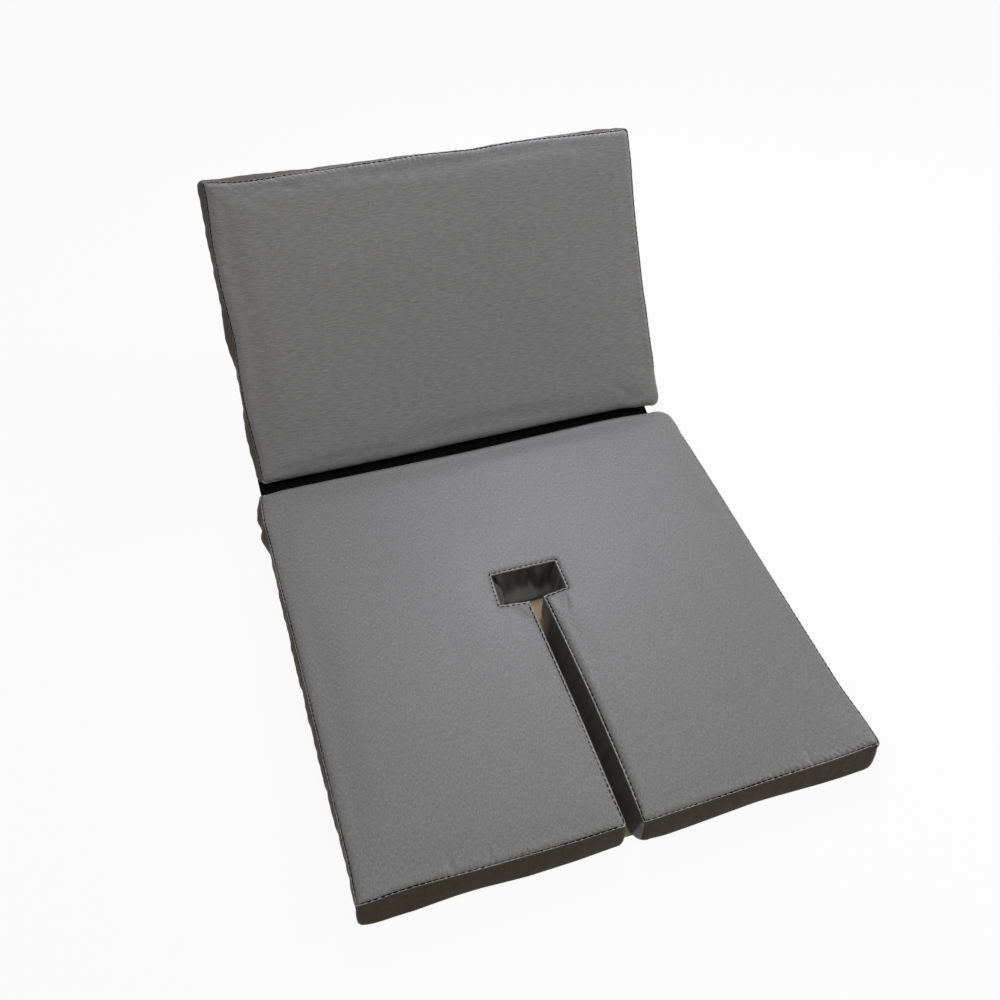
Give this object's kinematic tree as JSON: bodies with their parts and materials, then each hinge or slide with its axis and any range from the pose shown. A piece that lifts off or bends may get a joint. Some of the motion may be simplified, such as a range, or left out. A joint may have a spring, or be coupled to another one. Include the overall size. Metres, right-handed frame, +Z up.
{
  "type": "folding seat-and-back cushion",
  "caption": "Fold-up seat cushion: a foam seat pad with a strap keyhole and slit, joined by a fabric hinge to a foam back pad, both in sewn grey covers.",
  "frame": {"origin": "centre of the footprint of the part as it stands with its back leaning, on the ground plane under the seat", "axes": "+X to the sitter's left along the fold, +Y from the seat's front edge towards the back pad, +Z up"},
  "size_m": [0.38, 0.5366, 0.2405],
  "materials": {
    "cover_fabric": "matte",
    "band_fabric": "matte",
    "underside_fabric": "matte",
    "cushion_foam": "matte",
    "sewing_thread": "matte",
    "hinge_fabric": "matte"
  },
  "bodies": {
    "seat": {"seat_foam": "cushion_foam", "seat_top_panel": "cover_fabric", "seat_bottom_panel": "underside_fabric", "seat_band_left": "band_fabric", "seat_band_right": "band_fabric", "seat_band_front_left": "band_fabric", "seat_band_front_right": "band_fabric", "seat_band_rear": "band_fabric", "slit_facing_left": "band_fabric", "slit_facing_right": "band_fabric", "keyhole_facing": "band_fabric", "seat_topstitch": "sewing_thread", "hinge_strip_seat_leaf": "hinge_fabric"},
    "back": {"back_foam": "cushion_foam", "back_front_panel": "cover_fabric", "back_rear_panel": "underside_fabric", "back_band_left": "band_fabric", "back_band_right": "band_fabric", "back_band_top": "band_fabric", "back_band_bottom": "band_fabric", "back_topstitch": "sewing_thread", "hinge_strip_back_leaf": "hinge_fabric"}
  },
  "joints": [
    {"name": "back_fold", "type": "hinge", "parent": "seat", "child": "back", "pos_m": [0, 0.10819, 0.0293], "axis": [1, 0, 0], "range_deg": [-57.5, 122.5]}
  ]
}
